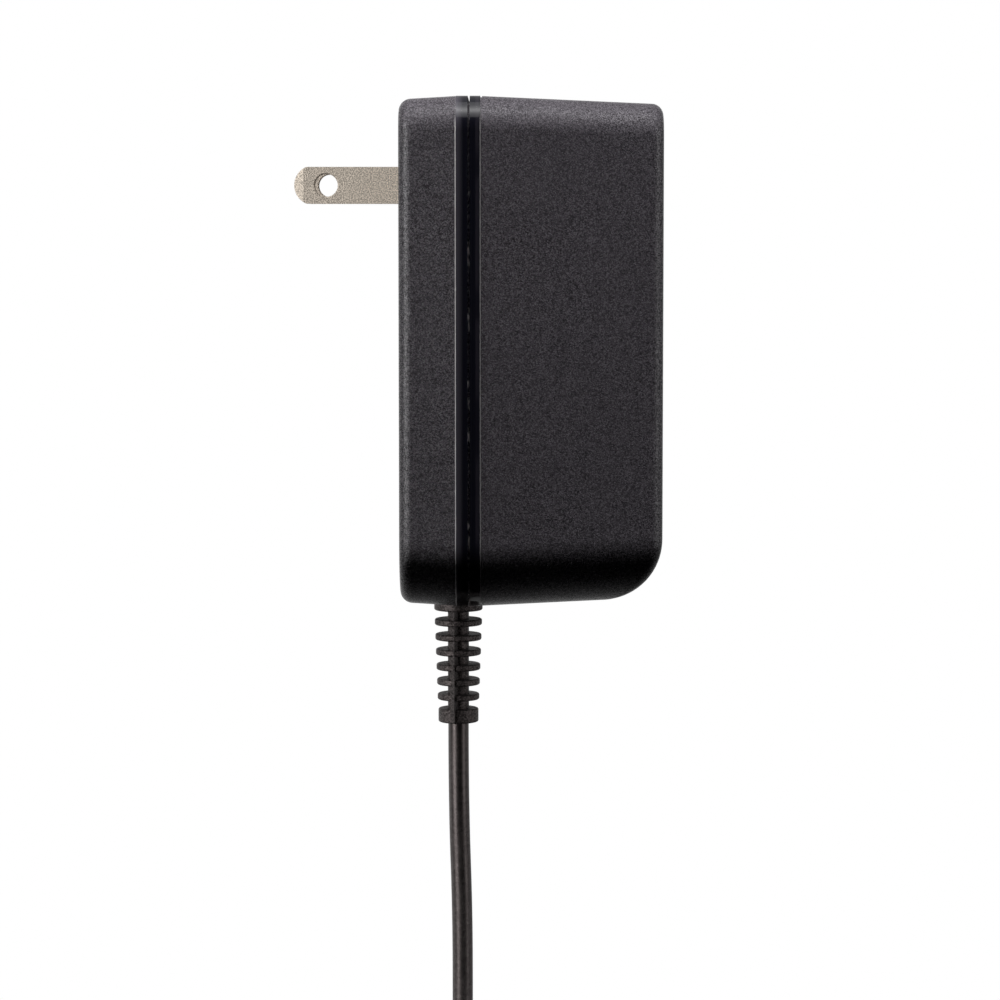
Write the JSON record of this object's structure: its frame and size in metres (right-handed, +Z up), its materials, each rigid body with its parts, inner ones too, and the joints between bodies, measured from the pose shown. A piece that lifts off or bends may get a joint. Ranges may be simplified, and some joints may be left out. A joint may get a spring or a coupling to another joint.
{
  "type": "power adapter",
  "caption": "Wall-plug power adapter: upright black housing with two flat blades, a ringed strain relief and a thin output lead ending in a round barrel plug.",
  "frame": {"origin": "on the outlet face, midway between the two blades", "axes": "+X from the outlet face to the rear of the housing, blades along -X; +Z up, the cord hangs along -Z; Y from side to side"},
  "size_m": [0.0626, 0.0542, 0.2831],
  "materials": {
    "blade_metal": "nickel plated, satin",
    "board_laminate": "paper laminate",
    "can_sleeve": "shrunk sleeve",
    "card_film": "thin sheet",
    "component_black": "moulded",
    "component_yellow": "moulded",
    "contact_metal": "nickel plated, bright",
    "copper_wire": "enamelled",
    "cord_jacket": "semi-matte black",
    "disc_blue": "dipped coating",
    "disc_green": "dipped coating",
    "ferrite": "sintered, dull",
    "housing": "fine spark texture, with a polished band on each side of the joint",
    "insulator_plastic": "moulded black",
    "red_insulation": "smooth",
    "relief_plastic": "soft black moulding, fine texture",
    "screw_steel": "zinc plated",
    "sink_metal": "plain sheet",
    "tape_film": "polyester tape",
    "tie_plastic": "satin"
  },
  "bodies": {
    "root": {"black_lead": "cord_jacket", "bridge_rectifier": "component_black", "bulk_capacitor": "can_sleeve", "choke_coils": "copper_wire", "choke_core": "ferrite", "circuit_board": "board_laminate", "control_chip": "component_black", "cord_end": "cord_jacket", "cord_hank": "cord_jacket", "cord_tie": "tie_plastic", "far_blade": "blade_metal", "front_shell": "housing", "fuse": "component_black", "heat_sink_screws": "screw_steel", "inductor_core": "ferrite", "inductor_winding": "copper_wire", "insulation_card": "card_film", "near_blade": "blade_metal", "optocoupler": "component_black", "output_capacitor_1": "can_sleeve", "output_capacitor_2": "can_sleeve", "output_cord": "cord_jacket", "output_diode": "component_black", "output_heat_sink": "sink_metal", "plug_barrel": "contact_metal", "plug_grip": "relief_plastic", "plug_insulator": "insulator_plastic", "plug_socket": "contact_metal", "primary_heat_sink": "sink_metal", "rear_shell": "housing", "red_lead": "red_insulation", "safety_capacitor": "disc_blue", "strain_relief": "relief_plastic", "switching_transistor": "component_black", "thermistor": "disc_green", "transformer_bobbin": "component_black", "transformer_core_lower": "ferrite", "transformer_core_upper": "ferrite", "transformer_tape": "tape_film", "transformer_winding": "copper_wire", "varistor": "disc_blue", "x_capacitor": "component_yellow"}
  },
  "joints": []
}
